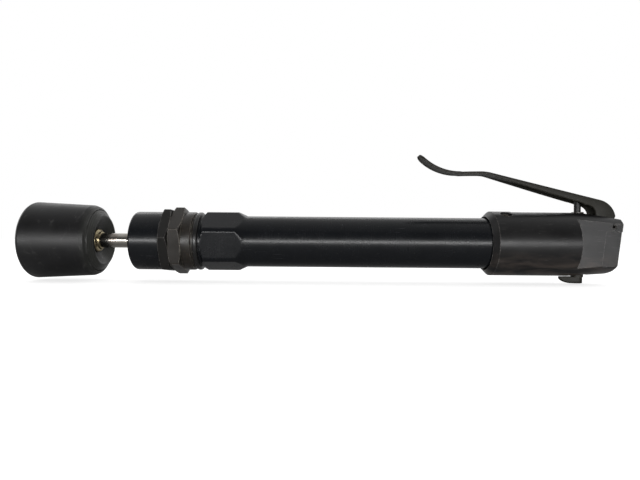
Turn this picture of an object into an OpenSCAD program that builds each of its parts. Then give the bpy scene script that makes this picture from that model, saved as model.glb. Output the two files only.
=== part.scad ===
// Straight pneumatic riveting hammer with a rubber bumper head, in millimetres.
// The origin is the centre of the air inlet's mouth. The tool's axis is X: the head points to -X,
// the inlet opens to +X, and the lever is on the +Z side.

/* [Lengths along the axis] */
// Inlet face to the front rim of the handle sleeve
handle_len = 83.4; // [69.5:0.1:100.1]
// Barrel tube between the handle sleeve and the barrel's hexagon
tube_len = 171; // [142.5:0.5:205.2]
// Barrel's hexagon section with its cone
barrel_hex_len = 29.6; // [28:0.1:36]
// Shank that shows between the nose cap and the rubber head
shank_show = 22.9; // [19:0.1:27.5]
// Rubber head, front face to back face
head_len = 47.6; // [39.7:0.1:57.2]

/* [Diameters] */
// Barrel tube, outside
tube_d = 35.2; // [34.6:0.1:42.3]
// Hammer piston
piston_d = 19; // [15.8:0.1:19.4]
// Shank of the working tool
shank_d = 10.2; // [8.5:0.1:11]
// Rubber head at its large end
head_d = 52.8; // [44:0.2:63.4]

/* [Nose] */
// Nose cap along the axis
cap_len = 20.5; // [20:0.1:24.6]
// Jam nut along the axis
jam_len = 6.5; // [5.4:0.1:7.8]
// Hexagon of the nose bush along the axis
bush_hex_len = 8; // [6.6:0.1:9.6]
// Round collar of the nose bush along the axis
bush_collar_len = 7.2; // [6:0.1:8.6]
// How far the shank can be pushed in
shank_travel = 8; // [6.7:0.1:8.4]

/* [Lever] */
// Width of the lever
lever_w = 12; // [10:0.1:14.4]
// Height of the lever's pivot above the tool axis
pivot_z = 11.6; // [11.5:0.1:13]
// Lever's flat finger rest above the tool axis
rest_z = 48.7; // [46:0.1:58.4]
// Lever sheet
lever_t = 1.8; // [1.5:0.1:2.1]

/* [Air regulator] */
// Outside diameter of the turning regulator sleeve
reg_d = 12; // [11.4:0.1:12.4]

/* [Clearances] */
// Radial gap of a sliding or turning fit
run_gap = 0.06; // [0.03:0.01:0.09]
// Radial gap where one fixed piece sits in another
seat_gap = 0.03; // [0.02:0.01:0.06]

/* [Hidden] */
$fn = 72;

// Radii shared by several pieces
tube_r = tube_d / 2;
tube_wall = 3.1;
tube_bore_r = tube_r - tube_wall;
piston_r = piston_d / 2;
liner_bore_r = piston_r + run_gap;
liner_wall = 2.9;
liner_r = liner_bore_r + liner_wall;
shank_r = shank_d / 2;
shank_bore_r = shank_r + run_gap;
head_r = head_d / 2;
handle_r = tube_r + 4.7;
cap_r = tube_r + 2.55;
collar_r = cap_r;
barrel_hex_r = tube_r + 2.75;
barrel_hex_af = tube_d + 1.4;
nut_af = tube_d + 5.8;
seal_ring_r = cap_r - 0.1;

// Stations along X, from the inlet to the head's face
sleeve_front_x = -handle_len;
cone_front_x = sleeve_front_x - tube_len;
cone_rear_x = cone_front_x + 6;
barrel_face_x = cone_rear_x - barrel_hex_len;
seal_ring_len = 3;
seal_rear_x = barrel_face_x - 1.5;
seal_front_x = seal_rear_x - seal_ring_len;
collar_rear_x = seal_front_x - 0.8;
collar_front_x = collar_rear_x - bush_collar_len;
hex_front_x = collar_front_x - bush_hex_len;
jam_front_x = hex_front_x - jam_len;
cap_front_x = jam_front_x - cap_len;
head_back_x = cap_front_x - shank_show;
head_face_x = head_back_x - head_len;

// Inside the rubber head: the bottom of the dish in its back, and the steel core
dish_x = head_back_x - 5.2;
core_disc_x = dish_x - 15;
core_boss_x = core_disc_x + 5;
core_rear_x = dish_x - 1;
core_disc_r = 16;
core_boss_r = 9;
ferrule_r = 6.4;
flange_r = 8;

// Nose interior
cap_wall = 5;
nose_thread_r = tube_r - 2.6;
buffer_len = 4;
washer_len = 2;
shank_collar_len = 6;
shank_collar_r = nose_thread_r - 3.2;
spigot_front_x = jam_front_x - 7;
spigot_wall = 2.4;
buffer_front_x = cap_front_x + cap_wall;
washer_front_x = buffer_front_x + buffer_len + run_gap;
shank_collar_x = washer_front_x + washer_len + run_gap;
spigot_floor_x = shank_collar_x + shank_collar_len + shank_travel + 0.5;
bush_tail_x = barrel_face_x + 16;
bushing_front_x = spigot_floor_x + 4;
bushing_r = piston_r;
wiper_x = cap_front_x + cap_wall / 2;

// Barrel interior
barrel_stop_x = -34;
valve_cap_len = 16;
valve_body_len = 16;
valve_cap_x = barrel_stop_x - valve_cap_len;
valve_body_x = valve_cap_x - valve_body_len;
liner_front_x = bush_tail_x;
liner_rear_x = valve_body_x;
centring_len = 6;
shank_tail_x = liner_front_x + 22;
piston_len = 48;
piston_x = shank_tail_x + shank_travel + 0.3;
valve_pocket_r = liner_bore_r - 0.56;
valve_disc_len = 3;
valve_floor = 10;
dowel_r = 1;
dowel_y = liner_bore_r + liner_wall / 2;

// Handle
sleeve_chamfer = 3.4;
sleeve_bore_r = tube_r + 1;
sleeve_rim_r = handle_r - sleeve_chamfer;
chamber_rear_x = -52;
block_front_x = -26;
flat_y = handle_r - 7.1;
top_z = handle_r - 0.7;
top_flat_front_x = sleeve_front_x + 17;
top_slope_x = -18;
top_slope = 11.5;
block_rear_x = 7.5;
block_rear_r = handle_r - 2.2;
rear_slope = 7;
rear_bottom_x = 0.5;
corner_r = 4;
panel_depth = 0.7;
lock_hole_r = 4;
lock_hole_x = sleeve_front_x + 12;
lock_hole_turn = 25;
inlet_r = 5.65;
inlet_len = 10;
passage_r = 4.4;
spot_r = 7.6;
screen_len = 0.8;
screen_r = 5.1;
plenum_r = 9;

// Throttle and regulator, on one vertical axis
valve_x = -18;
port_r = 2.2;
reg_r = reg_d / 2;
reg_bore_r = reg_r - 2;
spool_r = reg_bore_r - run_gap;
reg_top_z = 9.4;
reg_bottom_z = -19.2;
clip_top_z = -19.3;
clip_len = 1.1;
clip_groove_len = 1.3;
spool_top_z = 9;
spool_bottom_z = -4;
land_half = 2.6;
spring_bottom_z = -13;
spring_wire = 0.8;
spring_turns = 4;
knob_top_z = -handle_r - 0.35;
knob_bottom_z = knob_top_z - 4.7;
knob_r = 3.4;
pointer_len = 13;
pin_r = 2.2;
pin_bushing_r = 4;
pin_bushing_top_z = top_z + 0.7;

// Lever, in the XZ plane
pivot_x = -1.3;
lever_pin_r = 1.75;
root_r = 3.2;
slot_half = lever_w / 2 + 0.35;
slot_front_x = -11.2;
slot_floor_z = pivot_z - 3.6;
lever_half = lever_t / 2;
flange_t = lever_t;
bend_x = -83.4;
rest_front_x = -102;
tip_arc_r = 37;
tip_arc_deg = 48;
hook_x = -5;
hook_z = pivot_z + 19;
hook_r = 14;
hook_end_deg = 80;
flange_full_x = -23;
throat_x = -8.2;
throat_z = pivot_z + 8.5;
throat_r = 7;
web_gap = 0.22;
// Fall of the lever's straight top edge per millimetre, from the bend down to the hook
web_slope = (rest_z + lever_half - hook_z) / (hook_x - bend_x);
hook_start_deg = atan(web_slope);
hook_step_deg = (hook_end_deg - hook_start_deg) / 6;
pin_top_z = hook_z + (hook_x - valve_x) * web_slope - lever_t - web_gap;

// A cylinder along X from x0 to x1
module bar(x0, x1, r) {
    translate([x0, 0, 0])
        rotate([0, 90, 0])
            cylinder(h = x1 - x0, r = r);
}

// A ring along X from x0 to x1
module tube(x0, x1, r_in, r_out) {
    difference() {
        bar(x0, x1, r_out);
        bar(x0 - 1, x1 + 1, r_in);
    }
}

// A turned piece about X; each point is [radius, x]
module turned(points) {
    rotate([0, 90, 0])
        rotate_extrude()
            polygon(points);
}

// A hexagonal bar along X with one corner corner_deg above the -Y direction
module hex_bar(x0, x1, af, corner_deg) {
    rotate([30 - corner_deg, 0, 0])
        translate([x0, 0, 0])
            rotate([0, 90, 0])
                cylinder(h = x1 - x0, r = af / sqrt(3), $fn = 6);
}

// A hexagon nut blank with both ends' corners chamfered
module nut_blank(x0, x1, af, corner_deg) {
    corner = af / sqrt(3);
    face = af / 2 + 0.6;
    bevel = 1.1;
    intersection() {
        hex_bar(x0, x1, af, corner_deg);
        turned([
            [0, x0], [face, x0], [corner, x0 + bevel],
            [corner, x1 - bevel], [face, x1], [0, x1]
        ]);
    }
}

// A rubber O-ring about the tool axis
module o_ring(x, ring_r, cord_r) {
    translate([x, 0, 0])
        rotate([0, 90, 0])
            rotate_extrude()
                translate([ring_r, 0])
                    circle(r = cord_r, $fn = 24);
}

// A vertical cylinder on the valve axis
module post(z0, z1, r) {
    translate([valve_x, 0, z0])
        cylinder(h = z1 - z0, r = r);
}

// ---- Working tool ----

// Rounded front rim, tapered side, rounded shoulder, coned back and a dish round the shank
module rubber_head() {
    edge_r = 2.6;
    back_r = head_r - 2;
    color([0.10, 0.10, 0.10])
    difference() {
        turned(concat(
            [[0, head_face_x]],
            [for (a = [0 : 15 : 90])
                [head_r - edge_r + edge_r * sin(a), head_face_x + edge_r - edge_r * cos(a)]],
            [[back_r, head_back_x - 7.1]],
            [[back_r - 0.5, head_back_x - 5.4]],
            [[back_r - 1.5, head_back_x - 4.2]],
            [[back_r - 2.8, head_back_x - 3.3]],
            [[back_r - 6.6, head_back_x - 0.3]],
            [[back_r - 7.6, head_back_x]],
            [[back_r - 8.6, head_back_x - 0.4]],
            [[9, dish_x + 0.4]],
            [[flange_r, dish_x]],
            [[0, dish_x]]
        ));
        core_shape(seat_gap);
        bar(core_rear_x - 1, head_back_x + 1, ferrule_r + seat_gap);
    }
}

// Steel insert inside the rubber, grown by gap for the rubber's own hollow
module core_shape(gap) {
    bar(core_disc_x - gap, core_boss_x + gap, core_disc_r + gap);
    bar(core_disc_x, core_rear_x + gap, core_boss_r + gap);
}

module head_core() {
    color([0.45, 0.45, 0.46])
    difference() {
        core_shape(0);
        bar(core_disc_x - 1, core_rear_x + 1, shank_r + seat_gap);
    }
}

module head_ferrule() {
    seat_x = dish_x + seat_gap;
    bore_r = shank_r + seat_gap;
    color([0.72, 0.60, 0.32])
    turned([
        [bore_r, core_rear_x + seat_gap],
        [ferrule_r, core_rear_x + seat_gap],
        [ferrule_r, seat_x],
        [flange_r, seat_x],
        [flange_r, seat_x + 1.4],
        [flange_r - 0.8, seat_x + 2.2],
        [ferrule_r - 0.2, seat_x + 2.2],
        [ferrule_r - 0.5, seat_x + 3.6],
        [bore_r, seat_x + 3.6]
    ]);
}

module tool_shank() {
    tail_bevel = 0.8;
    color([0.70, 0.70, 0.70])
    turned([
        [0, core_disc_x],
        [shank_r, core_disc_x],
        [shank_r, shank_collar_x],
        [shank_collar_r, shank_collar_x],
        [shank_collar_r, shank_collar_x + shank_collar_len],
        [shank_r, shank_collar_x + shank_collar_len],
        [shank_r, shank_tail_x - tail_bevel],
        [shank_r - tail_bevel, shank_tail_x],
        [0, shank_tail_x]
    ]);
}

module thrust_washer() {
    color([0.55, 0.55, 0.56])
    tube(washer_front_x, washer_front_x + washer_len, shank_bore_r, shank_collar_r);
}

// ---- Nose ----

module front_buffer() {
    color([0.35, 0.10, 0.08])
    tube(buffer_front_x, buffer_front_x + buffer_len, shank_r + 0.5, nose_thread_r - 0.2);
}

module nose_cap() {
    edge_r = 1.8;
    color([0.06, 0.06, 0.07])
    difference() {
        turned(concat(
            [[0, cap_front_x]],
            [for (a = [0 : 15 : 90])
                [cap_r - edge_r + edge_r * sin(a), cap_front_x + edge_r - edge_r * cos(a)]],
            [[cap_r, jam_front_x - 0.5], [cap_r - 0.5, jam_front_x], [0, jam_front_x]]
        ));
        bar(buffer_front_x, jam_front_x + 1, nose_thread_r + seat_gap);
        bar(cap_front_x - 1, buffer_front_x + 1, shank_bore_r);
        bar(wiper_x - 1.1, wiper_x + 1.1, shank_r + 2.2);
    }
}

module shank_wiper() {
    color([0.12, 0.12, 0.12])
    o_ring(wiper_x, shank_r + 1.1, 1.03);
}

module jam_nut() {
    color([0.10, 0.10, 0.10])
    difference() {
        nut_blank(jam_front_x, hex_front_x, nut_af, 5.5);
        bar(jam_front_x - 1, hex_front_x + 1, nose_thread_r + seat_gap);
    }
}

module nose_bush() {
    thread_tail_r = tube_bore_r - seat_gap;
    color([0.20, 0.18, 0.16])
    difference() {
        union() {
            bar(spigot_front_x, hex_front_x + 1, nose_thread_r);
            nut_blank(hex_front_x, collar_front_x, nut_af, 19.2);
            turned([
                [0, collar_front_x - 1],
                [collar_r, collar_front_x - 1],
                [collar_r, collar_rear_x - 0.6],
                [collar_r - 0.6, collar_rear_x],
                [seal_ring_r - 1.8, collar_rear_x],
                [seal_ring_r - 1.8, seal_front_x],
                [thread_tail_r, seal_front_x],
                [thread_tail_r, bush_tail_x],
                [0, bush_tail_x]
            ]);
        }
        bar(spigot_front_x - 1, spigot_floor_x, nose_thread_r - spigot_wall);
        bar(spigot_floor_x - 1, bushing_front_x + 1, shank_r + 1);
        bar(bushing_front_x, bush_tail_x + 1, bushing_r + seat_gap);
    }
}

module shank_bushing() {
    color([0.58, 0.50, 0.34])
    tube(bushing_front_x, bush_tail_x, shank_bore_r, bushing_r);
}

module seal_ring() {
    edge_r = 0.8;
    color([0.08, 0.08, 0.08])
    turned(concat(
        [[tube_bore_r, seal_front_x]],
        [for (a = [0 : 30 : 90])
            [seal_ring_r - edge_r + edge_r * sin(a), seal_front_x + edge_r - edge_r * cos(a)]],
        [for (a = [0 : 30 : 90])
            [seal_ring_r - edge_r + edge_r * cos(a), seal_rear_x - edge_r + edge_r * sin(a)]],
        [[tube_bore_r, seal_rear_x]]
    ));
}

// ---- Barrel ----

module barrel_tube() {
    neck_r = seal_ring_r - 2.2;
    hex_bevel = 2;
    exhaust_r = 2.5;
    color([0.05, 0.05, 0.06])
    difference() {
        union() {
            bar(cone_front_x, barrel_stop_x, tube_r);
            intersection() {
                turned([
                    [0, barrel_face_x],
                    [barrel_hex_r - hex_bevel, barrel_face_x],
                    [barrel_hex_r, barrel_face_x + hex_bevel],
                    [barrel_hex_r, cone_front_x],
                    [tube_r, cone_rear_x],
                    [0, cone_rear_x]
                ]);
                hex_bar(barrel_face_x, cone_rear_x, barrel_hex_af, 22);
            }
            bar(seal_rear_x, barrel_face_x + 1, neck_r);
        }
        bar(seal_rear_x - 1, barrel_stop_x + 1, tube_bore_r);
        for (turn = [0 : 60 : 300])
            rotate([turn, 0, 0])
                translate([sleeve_front_x + 7, 0, 0])
                    cylinder(h = tube_d, r = exhaust_r);
    }
}

module cylinder_liner() {
    port_x = liner_front_x + 0.55 * (liner_rear_x - liner_front_x);
    liner_port_r = 2.5;
    color([0.52, 0.52, 0.54])
    difference() {
        bar(liner_front_x, liner_rear_x, liner_r);
        bar(liner_front_x - 1, liner_rear_x + 1, liner_bore_r);
        for (turn = [0 : 90 : 270])
            rotate([turn, 0, 0])
                translate([port_x, 0, 0])
                    cylinder(h = tube_d, r = liner_port_r);
        dowel_holes();
    }
}

module front_centring_ring() {
    color([0.55, 0.55, 0.55])
    centring_ring(liner_front_x);
}

module rear_centring_ring() {
    color([0.55, 0.55, 0.55])
    centring_ring(liner_rear_x - centring_len);
}

module centring_ring(x) {
    tube(x, x + centring_len, liner_r + seat_gap, tube_bore_r - seat_gap);
}

module piston() {
    nose_len = 6;
    nose_r = piston_r - 1.8;
    color([0.65, 0.65, 0.66])
    turned([
        [0, piston_x],
        [nose_r, piston_x],
        [nose_r, piston_x + nose_len],
        [piston_r, piston_x + nose_len + 1],
        [piston_r, piston_x + piston_len - 1],
        [piston_r - 1, piston_x + piston_len],
        [0, piston_x + piston_len]
    ]);
}

module valve_body() {
    color([0.42, 0.42, 0.44])
    difference() {
        bar(valve_body_x, valve_cap_x, tube_bore_r - seat_gap);
        bar(valve_body_x - 1, valve_cap_x + 1, liner_bore_r - 4);
        bar(valve_body_x + valve_floor, valve_cap_x + 1, valve_pocket_r);
        dowel_holes();
    }
}

module valve_disc() {
    disc_x = valve_body_x + valve_floor + 0.1;
    disc_bore_r = 1.5;
    color([0.75, 0.75, 0.76])
    tube(disc_x, disc_x + valve_disc_len, disc_bore_r, valve_pocket_r - run_gap);
}

module valve_cap() {
    hole_r = 1.6;
    hole_ring_r = 6;
    color([0.42, 0.42, 0.44])
    difference() {
        bar(valve_cap_x, barrel_stop_x, tube_bore_r - seat_gap);
        for (turn = [0 : 60 : 300])
            rotate([turn, 0, 0])
                translate([0, hole_ring_r, 0])
                    bar(valve_cap_x - 1, barrel_stop_x + 1, hole_r);
        dowel_holes();
    }
}

// The dowels line up the liner, the valve body and the valve cap
dowel_front_x = liner_rear_x - 5;
dowel_rear_x = valve_cap_x + 6;
module dowel_holes() {
    for (side = [-1, 1])
        translate([0, side * dowel_y, 0])
            bar(dowel_front_x, dowel_rear_x, dowel_r + seat_gap);
}

module valve_dowels() {
    color([0.7, 0.7, 0.7])
    for (side = [-1, 1])
        translate([0, side * dowel_y, 0])
            bar(dowel_front_x + 0.2, dowel_rear_x - 0.2, dowel_r);
}

// ---- Handle ----

module handle_body() {
    color([0.07, 0.07, 0.07])
    difference() {
        turned([
            [0, sleeve_front_x],
            [sleeve_rim_r, sleeve_front_x],
            [handle_r, sleeve_front_x + sleeve_chamfer],
            [handle_r, block_front_x],
            [block_rear_r, block_rear_x],
            [0, block_rear_x]
        ]);
        handle_faces();
        handle_bores();
        handle_cuts();
    }
}

// A slab that cuts everything above its lower face, turned about its front edge by deg
module face_cut(x, z, deg) {
    translate([x, -handle_r - 1, z])
        rotate([0, deg, 0])
            cube([handle_len, 2 * handle_r + 2, handle_r]);
}

// Flat top, sloping top, side flats, tilted rear face and rounded heel
module handle_faces() {
    heel_x = rear_bottom_x - corner_r + 0.5;
    heel_z = -block_rear_r - 0.5 + corner_r;
    face_cut(top_flat_front_x, top_z, 0);
    face_cut(top_slope_x, top_z, top_slope);
    for (side = [-1, 1])
        translate([block_front_x, side * (flat_y + handle_r) - handle_r, -handle_r - 1])
            cube([2 * handle_r, 2 * handle_r, 2 * handle_r + 2]);
    translate([rear_bottom_x, -handle_r - 1, -handle_r])
        rotate([0, rear_slope, 0])
            translate([0, 0, -handle_r])
                cube([handle_r, 2 * handle_r + 2, 4 * handle_r]);
    difference() {
        translate([heel_x, -handle_r - 1, heel_z - 2 * corner_r])
            cube([2 * corner_r, 2 * handle_r + 2, 2 * corner_r]);
        translate([heel_x, handle_r + 2, heel_z])
            rotate([90, 0, 0])
                cylinder(h = 2 * handle_r + 4, r = corner_r);
    }
}

// Everything drilled or bored in the handle
module handle_bores() {
    bar(sleeve_front_x - 1, chamber_rear_x, sleeve_bore_r);
    bar(chamber_rear_x - 1, barrel_stop_x, tube_r + seat_gap);
    bar(chamber_rear_x + 3, chamber_rear_x + 5.2, tube_r + 1.5);
    bar(barrel_stop_x - 1, valve_x - reg_r - 2, plenum_r);
    bar(valve_x - reg_r - 3, 0, passage_r);
    bar(-inlet_len - screen_len, -inlet_len + 1, screen_r);
    bar(-inlet_len, 6, inlet_r);
    bar(0, 8, spot_r);
    post(-handle_r - 1, spool_top_z + 0.5, reg_r + run_gap);
    post(clip_top_z - clip_groove_len, clip_top_z + 0.1, reg_r + 1.3);
    post(spool_top_z, handle_r + 1, pin_bushing_r + seat_gap);
    lock_hole(sleeve_bore_r - 2, handle_r + 2, lock_hole_r);
    translate([pivot_x, flat_y + 1, pivot_z])
        rotate([90, 0, 0])
            cylinder(h = 2 * flat_y + 2, r = lever_pin_r + seat_gap);
}

// The lever slot and the sunk panel on each side of the block
module handle_cuts() {
    panel_front_x = -7.5;
    panel_low = -15.6;
    panel_high = 9.6;
    panel_r = 2.5;
    translate([slot_front_x, -slot_half, slot_floor_z])
        cube([30, 2 * slot_half, handle_r]);
    for (side = [-1, 1])
        translate([panel_front_x, side * (flat_y - panel_depth + 5), 0])
            rotate([90, 0, 0])
                translate([0, 0, -5])
                    linear_extrude(10)
                        rotate(-rear_slope)
                            union() {
                                translate([panel_r, panel_low])
                                    square([20, panel_high - panel_low]);
                                translate([0, panel_low + panel_r])
                                    square([20, panel_high - panel_low - 2 * panel_r]);
                                translate([panel_r, panel_low + panel_r])
                                    circle(r = panel_r);
                                translate([panel_r, panel_high - panel_r])
                                    circle(r = panel_r);
                            }
}

// A radial hole near the sleeve's front rim, turned from the top toward -Y
module lock_hole(from_r, to_r, r) {
    translate([lock_hole_x, 0, 0])
        rotate([lock_hole_turn, 0, 0])
            translate([0, 0, from_r])
                cylinder(h = to_r - from_r, r = r);
}

module lock_screw() {
    screw_tip_r = tube_r + 0.1;
    screw_top_r = handle_r - 1.6;
    socket_af = 4;
    socket_depth = 2;
    color([0.15, 0.15, 0.15])
    difference() {
        lock_hole(screw_tip_r, screw_top_r, lock_hole_r - seat_gap);
        translate([lock_hole_x, 0, 0])
            rotate([lock_hole_turn, 0, 0])
                translate([0, 0, screw_top_r - socket_depth])
                    cylinder(h = socket_depth + 1, r = socket_af / sqrt(3), $fn = 6);
    }
}

module barrel_seal() {
    color([0.12, 0.12, 0.12])
    o_ring(chamber_rear_x + 4.1, tube_r + 0.78, 0.7);
}

module inlet_screen() {
    hole_r = 0.7;
    pitch = 2.2;
    color([0.75, 0.72, 0.60])
    difference() {
        bar(-inlet_len - screen_len, -inlet_len, screen_r - seat_gap);
        for (ring = [0 : 2])
            for (turn = [0 : 60 / max(ring, 1) : 359])
                rotate([turn, 0, 0])
                    translate([0, ring * pitch, 0])
                        bar(-inlet_len - 1, -inlet_len + 2, hole_r);
    }
}

// ---- Throttle ----

// Height of the lever's straight top edge at position x
function web_top(x) = hook_z + (hook_x - x) * web_slope;

// Depth of the lever's side flange at position x, growing from the bend to the push pin
function lever_depth(x) =
    let (u = (x - bend_x) / (flange_full_x - bend_x))
    2 * lever_half + 4.6 * u - 1.1 * u * u;

// A point of the upturned tip's arc, at distance off outside its centre line
function tip_point(a, off) = [
    rest_front_x - (tip_arc_r + off) * sin(a),
    rest_z + tip_arc_r - (tip_arc_r + off) * cos(a)
];

// A point of the round over the hook, cut back by inset
function hook_point(a, inset) = [
    hook_x - hook_r * sin(hook_start_deg) + (hook_r - inset) * sin(a),
    hook_z - hook_r * cos(hook_start_deg) + (hook_r - inset) * cos(a)
];

// Side outline of the lever, from the tip along the top edge, round the root and back below
module lever_outline() {
    end_centre = tip_point(tip_arc_deg, 0);
    polygon(concat(
        [for (a = [tip_arc_deg : -6 : 0]) tip_point(a, -lever_half)],
        [[bend_x, rest_z + lever_half]],
        [for (a = [hook_start_deg : hook_step_deg : hook_end_deg]) hook_point(a, 0)],
        [for (a = [0 : -15 : -180])
            [pivot_x + root_r * cos(a), pivot_z + root_r * sin(a)]],
        [for (a = [0 : 15 : 90])
            [throat_x - throat_r + throat_r * cos(a), throat_z + throat_r * sin(a)]],
        [for (i = [0 : 6])
            let (x = flange_full_x + (bend_x - flange_full_x) * i / 6)
            [x, web_top(x) - lever_depth(x)]],
        [for (a = [0 : 6 : tip_arc_deg]) tip_point(a, lever_half)],
        [for (b = [30 : 30 : 150])
            end_centre + lever_half * [
                -sin(tip_arc_deg) * cos(b) - cos(tip_arc_deg) * sin(b),
                -cos(tip_arc_deg) * cos(b) + sin(tip_arc_deg) * sin(b)
            ]]
    ));
}

// Space between the lever's side flanges, below the web
module lever_channel() {
    channel_front_x = bend_x + 5;
    polygon(concat(
        [[channel_front_x, web_top(channel_front_x) - lever_t]],
        [for (a = [hook_start_deg : hook_step_deg : hook_end_deg]) hook_point(a, lever_t)],
        [[pivot_x + root_r - lever_t, pivot_z - root_r - 1]],
        [[channel_front_x, pivot_z - root_r - 1]]
    ));
}

module throttle_lever() {
    inner_w = lever_w - 2 * flange_t;
    color([0.16, 0.15, 0.12])
    difference() {
        translate([0, lever_w / 2, 0])
            rotate([90, 0, 0])
                linear_extrude(lever_w)
                    lever_outline();
        translate([0, inner_w / 2, 0])
            rotate([90, 0, 0])
                linear_extrude(inner_w)
                    lever_channel();
        translate([pivot_x, lever_w, pivot_z])
            rotate([90, 0, 0])
                cylinder(h = 2 * lever_w, r = lever_pin_r + run_gap);
    }
}

module lever_pin() {
    color([0.5, 0.5, 0.5])
    translate([pivot_x, flat_y - 0.2, pivot_z])
        rotate([90, 0, 0])
            cylinder(h = 2 * flat_y - 0.4, r = lever_pin_r);
}

module throttle_pin() {
    dome_r = 2.6;
    color([0.30, 0.28, 0.25])
    intersection() {
        post(spool_top_z, pin_top_z, pin_r);
        translate([valve_x, 0, pin_top_z - dome_r])
            union() {
                sphere(r = dome_r);
                mirror([0, 0, 1])
                    cylinder(h = pin_top_z, r = pin_r + 1);
            }
    }
}

module pin_bushing() {
    color([0.33, 0.28, 0.22])
    difference() {
        post(spool_top_z + 0.5, pin_bushing_top_z, pin_bushing_r);
        post(spool_top_z, pin_bushing_top_z + 1, pin_r + run_gap);
    }
}

module throttle_valve() {
    waist_r = 1.8;
    upper_land_z = 6.8;
    color([0.62, 0.62, 0.63])
    union() {
        post(spool_bottom_z, land_half, spool_r);
        post(land_half - 0.5, upper_land_z + 0.5, waist_r);
        post(upper_land_z, spool_top_z, spool_r);
    }
}

// A round-wire coil on the valve axis, as rings of points swept along a helix
module coil(z0, z1, mean_r, wire_r, turns) {
    sides = 8;
    per_turn = 20;
    rings = turns * per_turn;
    rise = z1 - z0 - 2 * wire_r;
    points = [
        for (i = [0 : rings])
            let (a = 360 * i / per_turn, z = z0 + wire_r + rise * i / rings)
            for (j = [0 : sides - 1])
                let (b = 360 * j / sides, out = mean_r + wire_r * cos(b))
                [valve_x + out * cos(a), out * sin(a), z + wire_r * sin(b)]
    ];
    walls = [
        for (i = [0 : rings - 1])
            for (j = [0 : sides - 1])
                let (k = (j + 1) % sides)
                [i * sides + j, i * sides + k, (i + 1) * sides + k, (i + 1) * sides + j]
    ];
    first_cap = [for (j = [sides - 1 : -1 : 0]) j];
    last_cap = [for (j = [0 : sides - 1]) rings * sides + j];
    polyhedron(points = points, faces = concat(walls, [first_cap], [last_cap]), convexity = 8);
}

module throttle_spring() {
    mean_r = reg_bore_r - 1;
    color([0.6, 0.6, 0.6])
    coil(spring_bottom_z, spool_bottom_z, mean_r, spring_wire / 2, spring_turns);
}

// ---- Air regulator ----

seal_heights = [-10, 6];
seal_cord_r = 0.65;

module regulator_sleeve() {
    color([0.60, 0.52, 0.34])
    difference() {
        post(reg_bottom_z, reg_top_z, reg_r);
        post(reg_bottom_z - 1, reg_top_z + 1, reg_bore_r);
        translate([valve_x - reg_d, 0, 0])
            rotate([0, 90, 0])
                cylinder(h = 2 * reg_d, r = port_r);
        for (z = seal_heights)
            difference() {
                post(z - seal_cord_r - 0.1, z + seal_cord_r + 0.1, reg_r + 1);
                post(z - 2, z + 2, reg_r - 2 * seal_cord_r - 0.03);
            }
    }
}

module regulator_seals() {
    color([0.12, 0.12, 0.12])
    for (z = seal_heights)
        translate([valve_x, 0, z])
            rotate_extrude()
                translate([reg_r - seal_cord_r, 0])
                    circle(r = seal_cord_r, $fn = 24);
}

module regulator_clip() {
    color([0.25, 0.25, 0.25])
    difference() {
        post(clip_top_z - clip_len, clip_top_z, reg_r + 1.2);
        post(clip_top_z - 2, clip_top_z + 1, reg_bore_r + 0.4);
        translate([valve_x, -1.5, clip_top_z - 2])
            cube([reg_d, 3, 4]);
    }
}

module regulator_knob() {
    arm_w = 5.5;
    tip_w = 2.4;
    tip_t = 1.6;
    color([0.17, 0.15, 0.12])
    union() {
        post(knob_top_z - 0.1, spring_bottom_z, reg_bore_r - seat_gap);
        post(knob_bottom_z, knob_top_z, knob_r);
        intersection() {
            translate([0, arm_w / 2, 0])
                rotate([90, 0, 0])
                    linear_extrude(arm_w)
                        polygon([
                            [valve_x, knob_bottom_z],
                            [valve_x - 6, knob_bottom_z],
                            [valve_x - 10, knob_bottom_z + 1],
                            [valve_x - pointer_len, knob_top_z - tip_t],
                            [valve_x - pointer_len, knob_top_z],
                            [valve_x, knob_top_z]
                        ]);
            translate([0, 0, knob_bottom_z])
                linear_extrude(knob_top_z - knob_bottom_z)
                    polygon([
                        [valve_x, -arm_w / 2],
                        [valve_x - pointer_len, -tip_w / 2],
                        [valve_x - pointer_len, tip_w / 2],
                        [valve_x, arm_w / 2]
                    ]);
        }
    }
}

rubber_head();
head_core();
head_ferrule();
tool_shank();
thrust_washer();
front_buffer();
nose_cap();
shank_wiper();
jam_nut();
nose_bush();
shank_bushing();
seal_ring();
barrel_tube();
cylinder_liner();
front_centring_ring();
rear_centring_ring();
piston();
valve_body();
valve_disc();
valve_cap();
valve_dowels();
handle_body();
barrel_seal();
lock_screw();
throttle_lever();
lever_pin();
throttle_pin();
pin_bushing();
throttle_valve();
throttle_spring();
regulator_sleeve();
regulator_seals();
regulator_clip();
regulator_knob();
inlet_screen();
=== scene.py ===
import math

import bmesh
import bpy
from mathutils import Matrix, Vector, noise


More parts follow.
